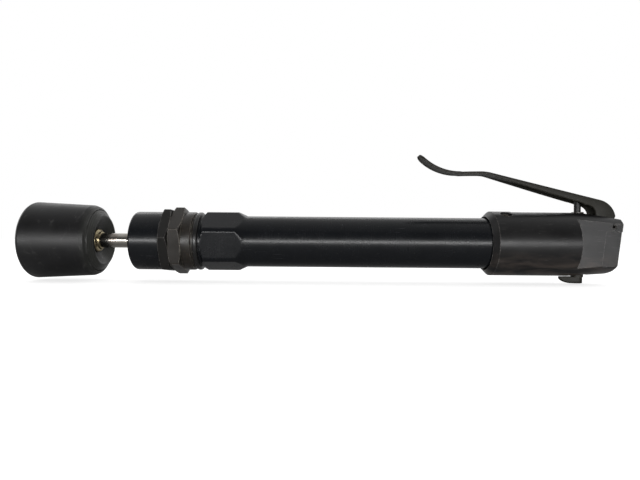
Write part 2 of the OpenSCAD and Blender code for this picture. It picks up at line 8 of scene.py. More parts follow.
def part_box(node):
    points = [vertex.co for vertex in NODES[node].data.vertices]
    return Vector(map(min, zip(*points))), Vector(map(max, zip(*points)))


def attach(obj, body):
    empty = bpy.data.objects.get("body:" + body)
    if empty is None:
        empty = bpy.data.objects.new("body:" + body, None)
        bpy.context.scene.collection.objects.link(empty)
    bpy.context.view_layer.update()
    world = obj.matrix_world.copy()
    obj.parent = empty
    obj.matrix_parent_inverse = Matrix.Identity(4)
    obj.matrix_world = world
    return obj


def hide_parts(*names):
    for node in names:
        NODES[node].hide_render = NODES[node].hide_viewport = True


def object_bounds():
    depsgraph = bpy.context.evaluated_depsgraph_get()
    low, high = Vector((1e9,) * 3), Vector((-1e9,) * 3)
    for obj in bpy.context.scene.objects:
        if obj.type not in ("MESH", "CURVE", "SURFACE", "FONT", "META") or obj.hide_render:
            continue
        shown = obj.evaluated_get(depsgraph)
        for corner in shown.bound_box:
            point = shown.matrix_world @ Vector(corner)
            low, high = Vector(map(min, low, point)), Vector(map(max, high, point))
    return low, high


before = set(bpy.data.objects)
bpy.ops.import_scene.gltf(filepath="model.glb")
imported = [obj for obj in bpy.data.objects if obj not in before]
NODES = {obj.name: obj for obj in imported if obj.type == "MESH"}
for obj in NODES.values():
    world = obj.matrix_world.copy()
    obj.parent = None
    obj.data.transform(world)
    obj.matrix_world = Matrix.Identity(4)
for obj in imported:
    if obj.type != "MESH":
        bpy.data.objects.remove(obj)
cad_low, cad_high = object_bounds()

MM = 0.001

# Camera: level, square to the tool's axis and close to it, in metres
CAMERA_X = -0.198
CAMERA_DISTANCE = 0.330
CAMERA_HEIGHT = 0.0014
CAMERA_ROLL = math.radians(-0.46)
CAMERA_LENS = 26.5

# Stage
FLOOR_SIZE = 8
FLOOR_GAP = 0.0004
FLOOR_GREY = 0.6
DIM_SIDE = 0.08

# Sizes that several pieces share, in millimetres
NUT_FLATS = 41.0
TUBE_R = 17.6
BARREL_FLATS = 36.6
NUT_STEPS = 288
KNOB_HEIGHT = 4.7
POINTER_REACH = 13


# ---------------------------------------------------------------- stage

def make_camera():
    """The main camera faces the middle of the tool along +Y."""
    data = bpy.data.cameras.new("camera")
    data.lens = CAMERA_LENS
    data.sensor_width = 36
    data.clip_start = 0.01
    data.clip_end = 20
    camera = bpy.data.objects.new("camera", data)
    bpy.context.collection.objects.link(camera)
    turn = Matrix.Rotation(CAMERA_ROLL, 4, "Y") @ Matrix.Rotation(math.radians(90), 4, "X")
    camera.matrix_world = Matrix.Translation((CAMERA_X, -CAMERA_DISTANCE, CAMERA_HEIGHT)) @ turn
    bpy.context.scene.camera = camera


def area_light(name, place, target, size, size_y, energy):
    """A rectangular soft light at place that faces target."""
    data = bpy.data.lights.new(name, "AREA")
    data.shape = "RECTANGLE"
    data.size = size
    data.size_y = size_y
    data.energy = energy
    light = bpy.data.objects.new(name, data)
    bpy.context.collection.objects.link(light)
    light.location = place
    aim = Vector(target) - Vector(place)
    light.rotation_euler = aim.to_track_quat("-Z", "Y").to_euler()


def make_lights():
    """A long strip at the camera's side, a soft light overhead, one behind and one at each end."""
    middle = (-0.2, 0, 0)
    area_light("front_strip", (-0.4, -1.3, 0.03), (-0.4, 0, 0), 2.3, 0.12, 34)
    area_light("overhead", (-0.2, -0.5, 1.4), middle, 2.0, 1.2, 2.2)
    area_light("back_strip", (-0.2, 1.5, 1.15), middle, 2.6, 0.3, 4.5)
    area_light("head_end", (-2.0, 0.5, 0.7), middle, 0.8, 1.2, 4)
    area_light("inlet_end", (1.6, 0.5, 0.7), middle, 0.8, 1.2, 4)


def make_world():
    """White to the camera and, behind the tool, in reflections; dim on the camera's side."""
    world = bpy.data.worlds.new("studio")
    bpy.context.scene.world = world
    world.use_nodes = True
    tree = world.node_tree
    tree.nodes.clear()
    out = tree.nodes.new("ShaderNodeOutputWorld")
    seen = tree.nodes.new("ShaderNodeBackground")
    seen.inputs["Strength"].default_value = 1.0
    seen.inputs["Color"].default_value = (1, 1, 1, 1)
    room = tree.nodes.new("ShaderNodeBackground")
    coords = tree.nodes.new("ShaderNodeTexCoord")
    split = tree.nodes.new("ShaderNodeSeparateXYZ")
    ramp = tree.nodes.new("ShaderNodeMapRange")
    ramp.inputs["From Min"].default_value = -0.75
    ramp.inputs["From Max"].default_value = 0.25
    ramp.inputs["To Min"].default_value = DIM_SIDE
    ramp.inputs["To Max"].default_value = 1.0
    ramp.interpolation_type = "SMOOTHSTEP"
    tree.links.new(coords.outputs["Generated"], split.inputs[0])
    tree.links.new(split.outputs["Y"], ramp.inputs["Value"])
    tree.links.new(ramp.outputs["Result"], room.inputs["Strength"])
    rays = tree.nodes.new("ShaderNodeLightPath").outputs
    mix = tree.nodes.new("ShaderNodeMixShader")

    def combine(kind, a, b):
        node = tree.nodes.new("ShaderNodeMath")
        node.operation = kind
        tree.links.new(a, node.inputs[0])
        tree.links.new(b, node.inputs[1])
        return node.outputs[0]

    behind = tree.nodes.new("ShaderNodeMapRange")
    behind.inputs["From Min"].default_value = 0.0
    behind.inputs["From Max"].default_value = 0.2
    tree.links.new(split.outputs["Y"], behind.inputs["Value"])
    straight = combine("MAXIMUM", rays["Is Camera Ray"], rays["Is Transmission Ray"])
    glossy = combine("MULTIPLY", behind.outputs["Result"], rays["Is Glossy Ray"])
    tree.links.new(combine("MAXIMUM", straight, glossy), mix.inputs[0])
    tree.links.new(room.outputs[0], mix.inputs[1])
    tree.links.new(seen.outputs[0], mix.inputs[2])
    tree.links.new(mix.outputs[0], out.inputs["Surface"])


def make_floor():
    """A plain pale floor just under the tool. To the camera it is white, apart from shadows."""
    floor_z = cad_low.z - FLOOR_GAP
    bm = bmesh.new()
    bm.faces.new([
        bm.verts.new((x * FLOOR_SIZE, y * FLOOR_SIZE, floor_z))
        for x, y in ((-1, -1), (1, -1), (1, 1), (-1, 1))
    ])
    mesh = bpy.data.meshes.new("floor")
    bm.to_mesh(mesh)
    bm.free()
    floor = bpy.data.objects.new("floor", mesh)
    bpy.context.collection.objects.link(floor)
    mat = bpy.data.materials.new("pale_floor")
    mat.use_nodes = True
    tree = mat.node_tree
    shader = tree.nodes["Principled BSDF"]
    shader.inputs["Base Color"].default_value = (FLOOR_GREY, FLOOR_GREY, FLOOR_GREY, 1)
    shader.inputs["Roughness"].default_value = 0.9
    light_path = tree.nodes.new("ShaderNodeLightPath")
    shader.inputs["Emission Color"].default_value = (1, 1, 1, 1)
    total = None
    gains = (("Is Camera Ray", 0.72), ("Is Glossy Ray", 0.08), ("Is Transmission Ray", 0.08))
    for ray, gain in gains:
        node = tree.nodes.new("ShaderNodeMath")
        node.operation = "MULTIPLY_ADD"
        tree.links.new(light_path.outputs[ray], node.inputs[0])
        node.inputs[1].default_value = gain
        node.inputs[2].default_value = 0
        if total:
            tree.links.new(total, node.inputs[2])
        total = node.outputs[0]
    tree.links.new(total, shader.inputs["Emission Strength"])
    mesh.materials.append(mat)


# ---------------------------------------------------------------- materials

class Paint:
    """A Principled material and short calls for the nodes that feed it."""

    def __init__(self, name):
        self.mat = bpy.data.materials.new(name)
        self.mat.use_nodes = True
        self.tree = self.mat.node_tree
        self.shader = self.tree.nodes["Principled BSDF"]
        self.coords = self.tree.nodes.new("ShaderNodeTexCoord").outputs["Object"]

    def set(self, **values):
        for key, value in values.items():
            self.shader.inputs[key.replace("_", " ")].default_value = value

    def link(self, source, target):
        self.tree.links.new(source, target)

    def feed(self, target, value):
        """Links an output, or sets a plain value."""
        if isinstance(value, bpy.types.NodeSocket):
            self.link(value, target)
        else:
            target.default_value = value

    def stretch(self, scale):
        """Object coordinates stretched by scale (x, y, z)."""
        node = self.tree.nodes.new("ShaderNodeMapping")
        node.inputs["Scale"].default_value = scale
        self.link(self.coords, node.inputs["Vector"])
        return node.outputs[0]

    def noise(self, scale, detail=3.0, rough=0.5, vector=None, warp=0.0):
        node = self.tree.nodes.new("ShaderNodeTexNoise")
        node.inputs["Scale"].default_value = scale
        node.inputs["Detail"].default_value = detail
        node.inputs["Roughness"].default_value = rough
        node.inputs["Distortion"].default_value = warp
        self.link(vector or self.coords, node.inputs["Vector"])
        return node.outputs["Fac"]

    def cells(self, scale):
        node = self.tree.nodes.new("ShaderNodeTexVoronoi")
        node.inputs["Scale"].default_value = scale
        self.link(self.coords, node.inputs["Vector"])
        return node.outputs["Distance"]

    def map(self, value, low, high, to_low=0.0, to_high=1.0):
        node = self.tree.nodes.new("ShaderNodeMapRange")
        node.inputs["From Min"].default_value = low
        node.inputs["From Max"].default_value = high
        node.inputs["To Min"].default_value = to_low
        node.inputs["To Max"].default_value = to_high
        self.link(value, node.inputs["Value"])
        return node.outputs["Result"]

    def math(self, kind, a, b=0.0):
        node = self.tree.nodes.new("ShaderNodeMath")
        node.operation = kind
        self.feed(node.inputs[0], a)
        self.feed(node.inputs[1], b)
        return node.outputs[0]

    def blend(self, factor, a, b):
        """Colour a at factor 0, colour b at factor 1."""
        node = self.tree.nodes.new("ShaderNodeMix")
        node.data_type = "RGBA"
        self.feed(node.inputs["Factor"], factor)
        self.feed(node.inputs["A"], (*a, 1) if isinstance(a, tuple) else a)
        self.feed(node.inputs["B"], (*b, 1) if isinstance(b, tuple) else b)
        return node.outputs["Result"]

    def axis(self, name):
        node = self.tree.nodes.new("ShaderNodeSeparateXYZ")
        self.link(self.coords, node.inputs[0])
        return node.outputs[name]

    def edges(self, radius):
        """About 1 on the outer edges that wear first, 0 elsewhere."""
        bevel = self.tree.nodes.new("ShaderNodeBevel")
        bevel.samples = 4
        bevel.inputs["Radius"].default_value = radius
        geometry = self.tree.nodes.new("ShaderNodeNewGeometry")
        dot = self.tree.nodes.new("ShaderNodeVectorMath")
        dot.operation = "DOT_PRODUCT"
        self.link(bevel.outputs[0], dot.inputs[0])
        self.link(geometry.outputs["Normal"], dot.inputs[1])
        return self.map(dot.outputs["Value"], 0.995, 0.90)

    def bump(self, height, distance, strength):
        """A bumped normal; distance is the full height in metres."""
        node = self.tree.nodes.new("ShaderNodeBump")
        node.inputs["Distance"].default_value = distance
        node.inputs["Strength"].default_value = strength
        self.link(height, node.inputs["Height"])
        return node.outputs[0]

    def finish(self, colour, rough, normal):
        self.link(colour, self.shader.inputs["Base Color"])
        self.link(rough, self.shader.inputs["Roughness"])
        self.link(normal, self.shader.inputs["Normal"])
        return self.mat


def black_anodised():
    """Gloss black turned aluminium with a faint blue tint, fine tool lines and light scratches."""
    p = Paint("black_anodised")
    cloud = p.noise(60, 4, 0.6)
    lines = p.noise(1, 3, 0.6, p.stretch((2600, 40, 40)))
    scratch = p.map(p.noise(1, 2, 0.5, p.stretch((60, 2200, 2200)), 0.4), 0.66, 0.74)
    scratch = p.math("MULTIPLY", scratch, p.map(p.noise(90), 0.5, 0.62))
    dust = p.map(p.noise(1400, 1), 0.74, 0.80)
    worn = p.math("MULTIPLY", p.edges(0.0005), p.map(p.noise(420, 3), 0.42, 0.62))
    tone = p.blend(cloud, (0.0026, 0.0030, 0.0037), (0.0048, 0.0053, 0.0062))
    tone = p.blend(p.math("MULTIPLY", scratch, 0.35), tone, (0.06, 0.06, 0.065))
    tone = p.blend(p.math("MULTIPLY", dust, 0.25), tone, (0.12, 0.115, 0.11))
    tone = p.blend(p.math("MULTIPLY", worn, 0.4), tone, (0.15, 0.15, 0.15))
    rough = p.math("ADD", p.map(cloud, 0.3, 0.7, 0.20, 0.27), p.math("MULTIPLY", lines, 0.05))
    height = p.math("ADD", lines, p.math("MULTIPLY", scratch, 0.6))
    p.set(Metallic=0.0, IOR=1.5, Specular_IOR_Level=0.16)
    return p.finish(tone, rough, p.bump(height, 0.000012, 0.5))


def worn_anodised():
    """Satin black handle finish, grainier, with lighter brown patches along its lower half."""
    p = Paint("worn_anodised")
    cloud = p.noise(75, 5, 0.65)
    grain = p.noise(2400, 2, 0.6)
    lines = p.noise(1, 3, 0.6, p.stretch((1500, 30, 30)))
    # Lighter brown noise patches on the lower half only, fading in from z = -4 mm down to -21 mm
    low = p.map(p.axis("Z"), -0.004, -0.021)
    patch_noise = p.map(p.noise(1, 4, 0.65, p.stretch((38, 90, 150)), 0.6), 0.42, 0.66)
    lower_patches = p.math("MULTIPLY", low, patch_noise)
    worn = p.math("MULTIPLY", p.edges(0.0006), p.map(p.noise(500, 3), 0.36, 0.6))
    scratch = p.map(p.noise(1, 2, 0.5, p.stretch((120, 1500, 1500)), 0.8), 0.66, 0.74)
    tone = p.blend(cloud, (0.0034, 0.0033, 0.0035), (0.0076, 0.0074, 0.0075))
    tone = p.blend(p.math("MULTIPLY", lower_patches, 0.8), tone, (0.050, 0.040, 0.034))
    tone = p.blend(p.math("MULTIPLY", scratch, 0.3), tone, (0.08, 0.078, 0.075))
    tone = p.blend(p.math("MULTIPLY", worn, 0.6), tone, (0.20, 0.19, 0.18))
    rough = p.math("ADD", p.map(cloud, 0.3, 0.7, 0.27, 0.36), p.math("MULTIPLY", grain, 0.08))
    height = p.math("ADD", p.math("MULTIPLY", grain, 0.6), lines)
    p.set(Metallic=0.0, IOR=1.5, Specular_IOR_Level=0.2)
    return p.finish(tone, rough, p.bump(height, 0.00002, 0.6))


def bumper_rubber():
    """Dark moulded rubber with a dusty bloom, small pits and scuffed rims."""
    p = Paint("bumper_rubber")
    bloom = p.noise(95, 5, 0.62, None, 0.5)
    fine = p.noise(1500, 3, 0.6)
    pits = p.map(p.cells(700), 0.10, 0.30)
    scuff = p.map(p.noise(1, 4, 0.7, p.stretch((220, 90, 90)), 1.0), 0.58, 0.72)
    rim = p.math("MULTIPLY", p.edges(0.0012), p.map(p.noise(260, 4), 0.35, 0.62))
    dusty = p.map(p.axis("X"), -0.356, -0.350)
    tone = p.blend(bloom, (0.0020, 0.0020, 0.0022), (0.0056, 0.0055, 0.0058))
    tone = p.blend(p.math("MULTIPLY", scuff, 0.3), tone, (0.05, 0.049, 0.048))
    tone = p.blend(p.math("MULTIPLY", dusty, 0.4), tone, (0.034, 0.035, 0.030))
    tone = p.blend(p.math("MULTIPLY", rim, 0.35), tone, (0.11, 0.11, 0.11))
    rough = p.map(bloom, 0.25, 0.75, 0.34, 0.46)
    height = p.math("ADD", p.math("MULTIPLY", fine, 0.5), p.math("MULTIPLY", pits, 0.6))
    p.set(IOR=1.5, Specular_IOR_Level=0.2)
    return p.finish(tone, rough, p.bump(height, 0.00006, 0.5))


def oxide_steel():
    """Brown-black oxide on turned and milled steel, worn bright on its corners."""
    p = Paint("oxide_steel")
    cloud = p.noise(160, 5, 0.65)
    mill = p.noise(1, 3, 0.6, p.stretch((900, 900, 140)))
    rust = p.map(p.noise(420, 5, 0.7), 0.55, 0.75)
    worn = p.math("MULTIPLY", p.edges(0.0007), p.map(p.noise(600, 3), 0.33, 0.6))
    tone = p.blend(cloud, (0.0052, 0.0043, 0.0034), (0.0125, 0.0105, 0.0084))
    tone = p.blend(p.math("MULTIPLY", rust, 0.3), tone, (0.045, 0.030, 0.018))
    tone = p.blend(p.math("MULTIPLY", worn, 0.6), tone, (0.26, 0.24, 0.21))
    rough = p.map(cloud, 0.25, 0.75, 0.30, 0.42)
    p.set(Metallic=0.0, IOR=1.5, Specular_IOR_Level=0.25)
    return p.finish(tone, rough, p.bump(p.math("ADD", mill, cloud), 0.00003, 0.5))


def black_steel():
    """The jam nut's darker, drier black finish."""
    p = Paint("black_steel")
    cloud = p.noise(220, 5, 0.65)
    pits = p.noise(1300, 3, 0.6)
    worn = p.math("MULTIPLY", p.edges(0.0007), p.map(p.noise(520, 3), 0.38, 0.6))
    tone = p.blend(cloud, (0.0040, 0.0038, 0.0035), (0.0090, 0.0086, 0.0080))
    tone = p.blend(p.math("MULTIPLY", worn, 0.5), tone, (0.20, 0.19, 0.18))
    rough = p.map(cloud, 0.25, 0.75, 0.34, 0.48)
    p.set(Metallic=0.0, IOR=1.5, Specular_IOR_Level=0.16)
    return p.finish(tone, rough, p.bump(pits, 0.00004, 0.5))


def lever_finish():
    """Dark olive-black phosphate on stamped steel, thin on the edges."""
    p = Paint("lever_finish")
    cloud = p.noise(110, 5, 0.65)
    grain = p.noise(1900, 3, 0.65)
    rolled = p.noise(1, 3, 0.6, p.stretch((60, 1400, 240)))
    worn = p.math("MULTIPLY", p.edges(0.0006), p.map(p.noise(700, 3), 0.40, 0.62))
    tone = p.blend(cloud, (0.0044, 0.0040, 0.0026), (0.0098, 0.0090, 0.0060))
    tone = p.blend(p.math("MULTIPLY", worn, 0.4), tone, (0.12, 0.11, 0.095))
    rough = p.math("ADD", p.map(cloud, 0.25, 0.75, 0.42, 0.56), p.math("MULTIPLY", grain, 0.08))
    height = p.math("ADD", grain, p.math("MULTIPLY", rolled, 0.5))
    p.set(Metallic=0.0, IOR=1.5, Specular_IOR_Level=0.17)
    return p.finish(tone, rough, p.bump(height, 0.00004, 0.5))


def polished_steel():
    """Ground rod: bright, with fine rings from grinding and a little brown staining."""
    p = Paint("polished_steel")
    rings = p.noise(1, 3, 0.6, p.stretch((3200, 30, 30)))
    stain = p.map(p.noise(130, 5, 0.65), 0.50, 0.72)
    spot = p.map(p.noise(900, 3, 0.6), 0.66, 0.76)
    tone = p.blend(stain, (0.31, 0.295, 0.27), (0.17, 0.14, 0.12))
    tone = p.blend(p.math("MULTIPLY", spot, 0.6), tone, (0.09, 0.07, 0.05))
    rough = p.map(stain, 0.0, 1.0, 0.22, 0.36)
    p.set(Metallic=1.0)
    return p.finish(tone, rough, p.bump(rings, 0.000004, 0.4))


def machined_steel():
    """Plain turned steel for pins, springs and the pieces inside."""
    p = Paint("machined_steel")
    cloud = p.noise(300, 4, 0.6)
    lines = p.noise(1, 3, 0.6, p.stretch((2400, 60, 60)))
    tone = p.blend(cloud, (0.34, 0.335, 0.33), (0.50, 0.49, 0.48))
    rough = p.map(cloud, 0.25, 0.75, 0.24, 0.38)
    p.set(Metallic=1.0)
    return p.finish(tone, rough, p.bump(lines, 0.00002, 0.5))


def turned_brass():
    """Brass ferrule with turning rings and a dull tarnish."""
    p = Paint("turned_brass")
    rings = p.noise(1, 2, 0.5, p.stretch((1800, 1800, 1800)))
    tarnish = p.map(p.noise(340, 5, 0.65), 0.42, 0.7)
    tone = p.blend(tarnish, (0.34, 0.29, 0.18), (0.09, 0.07, 0.045))
    rough = p.map(tarnish, 0.0, 1.0, 0.24, 0.44)
    p.set(Metallic=1.0)
    return p.finish(tone, rough, p.bump(rings, 0.00002, 0.5))


def bearing_bronze():
    """Dull bronze for the bushings and the regulator sleeve."""
    p = Paint("bearing_bronze")
    cloud = p.noise(420, 4, 0.6)
    pores = p.map(p.cells(1800), 0.08, 0.26)
    tone = p.blend(cloud, (0.17, 0.125, 0.075), (0.30, 0.23, 0.14))
    rough = p.map(cloud, 0.25, 0.75, 0.34, 0.48)
    p.set(Metallic=1.0)
    return p.finish(tone, rough, p.bump(pores, 0.00003, 0.4))


def seal_rubber():
    """Smooth black O-ring rubber with a slight sheen and specks of dust."""
    p = Paint("seal_rubber")
    cloud = p.noise(380, 4, 0.6)
    dust = p.map(p.noise(1700, 2), 0.66, 0.74)
    tone = p.blend(cloud, (0.004, 0.004, 0.004), (0.008, 0.008, 0.008))
    tone = p.blend(p.math("MULTIPLY", dust, 0.2), tone, (0.10, 0.095, 0.09))
    rough = p.map(cloud, 0.25, 0.75, 0.24, 0.36)
    p.set(IOR=1.5, Specular_IOR_Level=0.3)
    return p.finish(tone, rough, p.bump(cloud, 0.00003, 0.4))


def buffer_rubber():
    """Red-brown polyurethane of the buffer ring inside the nose."""
    p = Paint("buffer_rubber")
    cloud = p.noise(320, 4, 0.6)
    tone = p.blend(cloud, (0.20, 0.04, 0.03), (0.30, 0.07, 0.05))
    rough = p.map(cloud, 0.25, 0.75, 0.36, 0.5)
    return p.finish(tone, rough, p.bump(cloud, 0.00004, 0.4))


# ---------------------------------------------------------------- mesh tools

def fillet(points, steps=5):
    """Points (x, r) or (x, r, radius) of an outline; a corner with a radius becomes an arc."""
    out = []
    count = len(points)
    for i, point in enumerate(points):
        here = Vector(point[:2])
        radius = point[2] if len(point) > 2 else 0
        if radius == 0 or i in (0, count - 1):
            out.append(here)
            continue
        before = (Vector(points[i - 1][:2]) - here).normalized()
        after = (Vector(points[i + 1][:2]) - here).normalized()
        half = before.angle(after) / 2
        reach = radius / math.tan(half)
        start, end = here + before * reach, here + after * reach
        centre = here + (before + after).normalized() * (radius / math.sin(half))
        for k in range(steps + 1):
            arm = (start - centre).lerp(end - centre, k / steps).normalized() * radius
            out.append(centre + arm)
    return out


def new_piece(name, mesh, material, body, slot, *replaced, angle=40):
    """Makes the object for a mesh, smooth apart from its sharp edges, puts it under its body and hides the
    CAD nodes it replaces.
    """
    for face in mesh.polygons:
        face.use_smooth = True
    mesh.set_sharp_from_angle(angle=math.radians(angle))
    mesh.materials.append(material)
    piece = bpy.data.objects.new(name, mesh)
    bpy.context.collection.objects.link(piece)
    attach(piece, body)
    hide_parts(*replaced)


def ring_mesh(name, rings, closed=False):
    """A skin over rings of points, all with the same count. Not closed, its two ends are capped."""
    bm = bmesh.new()
    made = [[bm.verts.new(point) for point in ring] for ring in rings]
    count = len(rings[0])
    last = len(made) if closed else len(made) - 1
    for i in range(last):
        a, b = made[i], made[(i + 1) % len(made)]
        for j in range(count):
            k = (j + 1) % count
            bm.faces.new((a[j], a[k], b[k], b[j]))
    if not closed:
        for ring in (made[0], made[-1]):
            middle = sum((v.co for v in ring), Vector()) / count
            tip = bm.verts.new(middle)
            for j in range(count):
                bm.faces.new((ring[j], ring[(j + 1) % count], tip))
    bmesh.ops.recalc_face_normals(bm, faces=bm.faces)
    mesh = bpy.data.meshes.new(name)
    bm.to_mesh(mesh)
    bm.free()
    return mesh


def around(x, radius, count):
    """A ring about the tool's axis at x, in millimetres. radius is a number or a function of the angle."""
    points = []
    for j in range(count):
        turn = 2 * math.pi * j / count
        r = radius(turn) if callable(radius) else radius
        points.append(Vector((x, -r * math.cos(turn), r * math.sin(turn))) * MM)
    return points


def revolved(name, outline, count=144, closed=True):
    """A turned mesh about the tool's axis from an outline of (x, r) in millimetres."""
    return ring_mesh(name, [around(x, r, count) for x, r in outline], closed)


def soft_min(a, b, k):
    """The smaller of two radii, with the corner between them rounded over k."""
    h = max(0.0, min(1.0, 0.5 + 0.5 * (b - a) / k))
    return b + (a - b) * h - k * h * (1 - h)


def hexagon(across_flats, corner_deg):
    """Radius of a hexagon at an angle, where one corner stands corner_deg above -Y."""
    def radius(turn):
        off = (math.degrees(turn) - corner_deg) % 60 - 30
        return across_flats / 2 / math.cos(math.radians(off))
    return radius


def box_mm(node):
    """A CAD node's box in millimetres: lowest corner, highest corner."""
    low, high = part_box(node)
    return Vector(low) / MM, Vector(high) / MM


# ---------------------------------------------------------------- working tool

def make_rubber_head(material):
    """Tapered bumper: rounded rim, coned back with a moulded line, and a dish round the shank."""
    low, high = box_mm("rubber_head")
    face_x, back_x, big_r = low.x, high.x, high.z
    back_r = big_r - 2.0
    outline = fillet([
        (face_x + 0.3, 1), (face_x, big_r * 0.6), (face_x, big_r, 2.7), (back_x - 7.0, back_r, 2.4),
        (back_x - 4.4, back_r - 1.1, 1.0), (back_x - 3.2, back_r - 2.8),
    ], 8)
    outline += [Vector(point) for point in (
        (back_x - 3.5, back_r - 2.95), (back_x - 4.0, back_r - 3.1), (back_x - 3.6, back_r - 3.3),
        (back_x - 2.75, back_r - 3.5),
    )]
    # Fine rings left by the mould, out on the cone and down in the dish
    cone = [Vector((back_x - 2.75, back_r - 3.5)), Vector((back_x - 0.25, back_r - 6.8))]
    dish = [Vector((back_x - 0.45, back_r - 8.6)), Vector((back_x - 4.6, 9.4))]
    for start, end, count in ((*cone, 3), (*dish, 6)):
        steps = count * 6
        for i in range(1, steps):
            wave = 0.10 * (1 - math.cos(2 * math.pi * count * i / steps)) / 2
            outline.append(start.lerp(end, i / steps) - Vector((wave, 0)))
        if start is cone[0]:
            outline += [Vector((back_x - 0.25, back_r - 6.8)), Vector((back_x, back_r - 7.5)),
                        Vector((back_x - 0.1, back_r - 8.1)), dish[0]]
    outline += [Vector(point) for point in (
        (back_x - 4.9, 8.9), (back_x - 5.15, 8.1), (back_x - 5.3, 6.6),
        (back_x - 7, 6.45), (back_x - 7, 0.5),
    )]
    mesh = revolved("rubber_head", outline, 192, False)
    for vertex in mesh.vertices:
        place = vertex.co * 55
        wobble = noise.noise(place) * 0.10 + noise.noise(place * 4) * 0.035
        out = Vector((0, vertex.co.y, vertex.co.z))
        if out.length > 0.009:
            inside = min(1, (out.length / MM - 9) / 8)
            vertex.co -= out.normalized() * abs(wobble) * MM * inside
    new_piece(
        "rubber_head_skin", mesh, material, "tool", "bumper_rubber", "rubber_head", angle=50,
    )


def make_ferrule(material):
    """Brass collar at the bottom of the dish: a flange with a small hub on it."""
    low, high = box_mm("head_ferrule")
    bore, seat_x, flange_r, hub_r = 5.14, high.x - 3.6, high.z, high.z - 1.9
    outline = fillet([
        (low.x, bore), (low.x, hub_r), (seat_x, hub_r), (seat_x, flange_r, 0.2),
        (seat_x + 1.3, flange_r, 0.5), (seat_x + 2.1, flange_r - 0.9, 0.3),
        (seat_x + 2.2, hub_r + 0.15, 0.12),
        (high.x - 0.05, hub_r - 0.25, 0.4), (high.x, bore),
    ], 4)
    mesh = revolved("head_ferrule", outline, 96)
    new_piece("ferrule_collar", mesh, material, "tool", "brass", "head_ferrule")


# ---------------------------------------------------------------- nose

def make_nose_cap(material):
    """Turned cap with a rounded front rim and a fine line where it meets the jam nut."""
    low, high = box_mm("nose_cap")
    r, bore, thread = high.z, 5.3, 15.0
    outline = fillet([
        (low.x + 5, bore), (low.x + 0.6, bore), (low.x, bore + 0.6), (low.x, r, 1.9),
        (high.x, r, 0.6), (high.x, thread), (low.x + 5, thread), (low.x + 5, bore),
    ], 7)
    mesh = revolved("nose_cap", outline[:-1], 192)
    new_piece("nose_cap_shell", mesh, material, "hammer", "black_anodised", "nose_cap")


def nut_rings(x0, x1, corner_deg):
    """Rings of (x, radius function) over a hexagon with chamfered, slightly rounded corners."""
    bevel = 1.1
    shape = hexagon(NUT_FLATS, corner_deg)
    corner, face = NUT_FLATS / math.sqrt(3), NUT_FLATS / 2 + 0.6
    rise = (corner - face) / bevel

    def at(x, inset):
        limit = face + rise * min(x - x0, x1 - x)
        return lambda turn: soft_min(shape(turn), limit, 0.35) - inset

    ends = ((0.0, 0.35), (0.06, 0.12), (0.2, 0.03), (0.4, 0.0), (0.8, 0.0), (1.2, 0.0), (1.8, 0.0))
    front = [(x0 + step, at(x0 + step, inset)) for step, inset in ends]
    rear = [(x1 - step, at(x1 - step, inset)) for step, inset in reversed(ends)]
    middle = (x0 + x1) / 2
    return front + [(middle, at(middle, 0))] + rear


def make_jam_nut(material):
    """Thin hexagon nut against the nose cap."""
    low, high = box_mm("jam_nut")
    bore, corner_deg = 15.1, 5.5
    rings = [(low.x + 1, bore), (low.x, bore + 0.8)]
    rings += nut_rings(low.x, high.x, corner_deg)
    rings += [(high.x, bore + 0.8), (high.x - 1, bore)]
    mesh = ring_mesh("jam_nut", [around(x, r, NUT_STEPS) for x, r in rings], True)
    new_piece("jam_nut_body", mesh, material, "hammer", "oxide_steel", "jam_nut", angle=25)


def make_nose_bush(material):
    """Hexagon with a round collar behind it and the groove in front of the seal ring."""
    low, high = box_mm("nose_bush")
    jam_high = box_mm("jam_nut")[1]
    seal_low, seal_high = box_mm("seal_ring")
    hex_x0, hex_x1 = jam_high.x, jam_high.x + 8
    collar_r, collar_x1 = NUT_FLATS / 2 - 0.35, seal_low.x - 1.5
    corner_deg = 19.2
    spigot, bore, neck, tail = 14.9, 12.6, seal_high.z - 1.8, 14.4
    rings = [(low.x, bore), (low.x, spigot), (hex_x0, spigot)]
    rings += nut_rings(hex_x0, hex_x1, corner_deg)
    rings += [
        (hex_x1, collar_r + 0.02), (hex_x1 + 0.1, collar_r - 0.1), (hex_x1 + 0.4, collar_r),
        (collar_x1 - 1.0, collar_r), (collar_x1 - 0.6, collar_r - 0.06),
        (collar_x1 - 0.2, collar_r - 0.3),
        (collar_x1, collar_r - 0.7), (collar_x1, neck), (seal_low.x, neck), (seal_low.x, tail),
        (high.x, tail), (high.x, bore),
    ]
    mesh = ring_mesh("nose_bush", [around(x, r, NUT_STEPS) for x, r in rings], True)
    new_piece("nose_bush_body", mesh, material, "hammer", "oxide_steel", "nose_bush", angle=25)


def make_seal_ring(material):
    """Fat rubber ring squeezed between the collar and the barrel."""
    low, high = box_mm("seal_ring")
    outline = fillet([
        (low.x + 0.01, 14.6), (low.x + 0.02, high.z, 1.1), (high.x - 0.02, high.z, 1.1),
        (high.x - 0.01, 14.6),
    ], 8)
    mesh = revolved("seal_ring", outline, 144)
    new_piece("seal_ring_skin", mesh, material, "hammer", "seal_rubber", "seal_ring")


# ---------------------------------------------------------------- barrel

